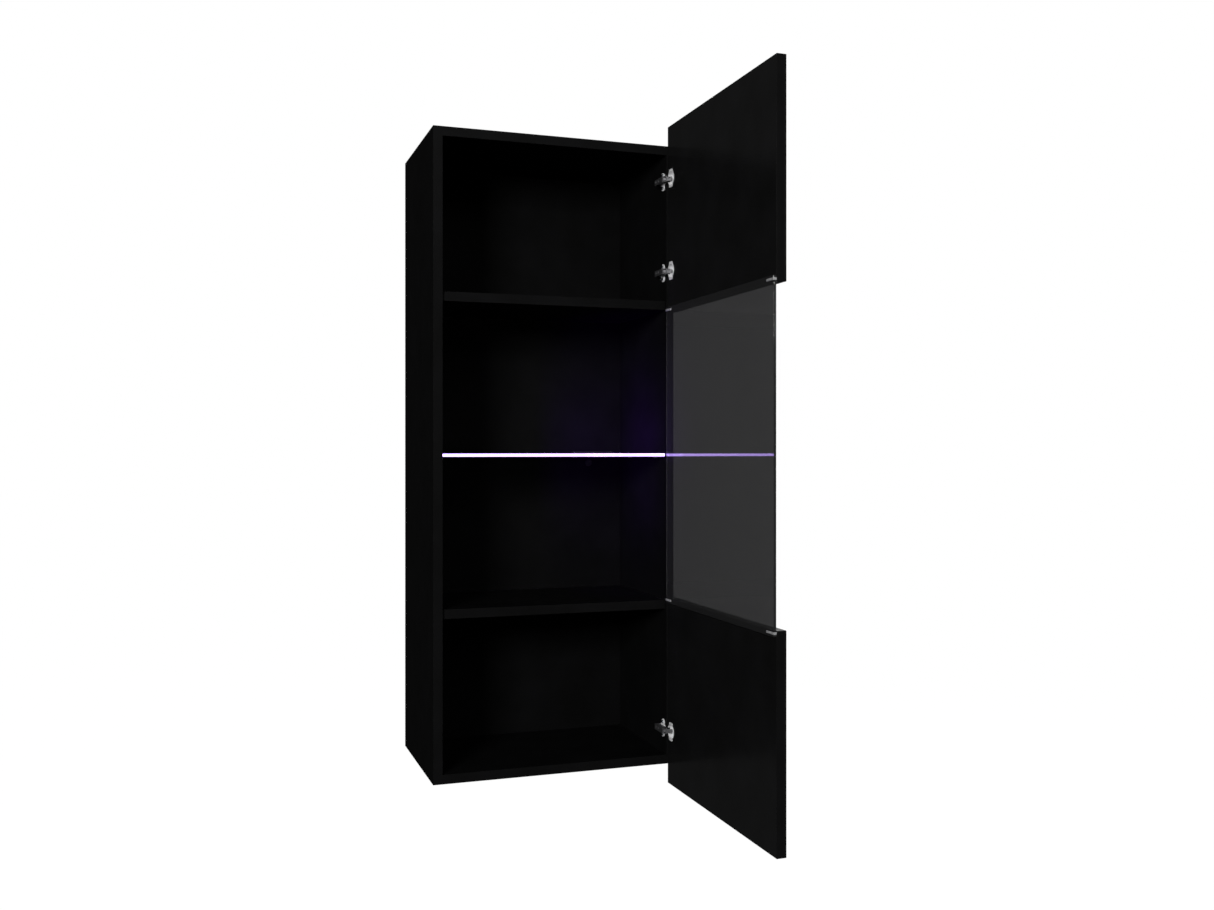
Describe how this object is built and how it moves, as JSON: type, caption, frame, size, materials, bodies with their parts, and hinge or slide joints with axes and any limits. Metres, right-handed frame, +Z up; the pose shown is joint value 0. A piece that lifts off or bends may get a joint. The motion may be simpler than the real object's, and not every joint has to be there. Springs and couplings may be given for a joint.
{
  "type": "hanging wall cabinet",
  "caption": "Tall narrow black wall cabinet with a side-hung door of solid panels and a smoked glass pane, fixed shelves and an edge-lit glass shelf.",
  "frame": {"origin": "on the wall face, midway between the two screw holes of the wall rail", "axes": "+X across the cabinet towards the hinge side, +Y into the wall, +Z up"},
  "size_m": [0.435, 0.729, 1.17],
  "materials": {
    "carcass_board": "black laminated particle board, semi-matt",
    "back_board": "black lacquered thin fibre board",
    "gloss_door": "black high-gloss board",
    "black_plastic": "black moulded plastic",
    "zinc_fittings": "die-cast zinc",
    "beech_dowel": "plain beech",
    "clear_glass": "clear polished glass, lit from its rear edge",
    "smoked_glass": "grey tinted polished glass",
    "dark_steel": "dark nickel",
    "aluminium_clip": "satin anodised",
    "chrome_fittings": "polished",
    "galvanised_steel": "zinc plated",
    "led_board": "white circuit board with light diodes"
  },
  "bodies": {
    "cabinet": {"left_side_panel": "carcass_board", "right_side_panel": "carcass_board", "top_panel": "carcass_board", "bottom_panel": "carcass_board", "upper_shelf": "carcass_board", "lower_shelf": "carcass_board", "back_panel": "back_board", "cable_grommet": "black_plastic", "cam_locks": "zinc_fittings", "cam_bolts": "zinc_fittings", "cam_covers": "black_plastic", "wooden_dowels": "beech_dowel", "glass_shelf": "clear_glass", "shelf_supports": "dark_steel", "led_clip": "aluminium_clip", "led_board": "led_board", "hinge_arm_pins": "chrome_fittings", "hinge_arm_screws": "chrome_fittings", "hinge_plate_screws": "chrome_fittings", "wall_rail": "galvanised_steel", "left_hanger": "galvanised_steel", "right_hanger": "galvanised_steel", "hanger_screws": "galvanised_steel", "hinge_plate_top": "chrome_fittings", "hinge_arm_top": "chrome_fittings", "hinge_plate_middle": "chrome_fittings", "hinge_arm_middle": "chrome_fittings", "hinge_plate_bottom": "chrome_fittings", "hinge_arm_bottom": "chrome_fittings"},
    "door": {"door_upper_panel": "gloss_door", "door_lower_panel": "gloss_door", "door_glass": "smoked_glass", "glass_clips": "chrome_fittings", "clip_screws": "chrome_fittings", "hinge_cup_top": "chrome_fittings", "hinge_cup_middle": "chrome_fittings", "hinge_cup_bottom": "chrome_fittings"},
    "hinge_outer_links": {"hinge_outer_link_pins": "chrome_fittings", "hinge_outer_link_top": "chrome_fittings", "hinge_outer_link_middle": "chrome_fittings", "hinge_outer_link_bottom": "chrome_fittings"},
    "hinge_inner_links": {"hinge_inner_link_pins": "chrome_fittings", "hinge_inner_link_top": "chrome_fittings", "hinge_inner_link_middle": "chrome_fittings", "hinge_inner_link_bottom": "chrome_fittings"}
  },
  "joints": [
    {"name": "door_swing", "type": "hinge", "parent": "cabinet", "child": "door", "pos_m": [0.20875, -0.30375, -0.4925], "axis": [0, 0, 1], "range_deg": [-90, 10]},
    {"name": "outer_link_swing", "type": "hinge", "parent": "cabinet", "child": "hinge_outer_links", "pos_m": [0.196, -0.303, -0.4925], "axis": [0, 0, 1], "range_deg": [-8, 60]},
    {"name": "inner_link_swing", "type": "hinge", "parent": "cabinet", "child": "hinge_inner_links", "pos_m": [0.193, -0.298, -0.4925], "axis": [0, 0, 1], "range_deg": [-4, 21]}
  ],
  "couplings": [
    {"joint": "outer_link_swing", "follows": "door_swing", "ratio": -0.65207},
    {"joint": "inner_link_swing", "follows": "door_swing", "ratio": -0.21832}
  ]
}
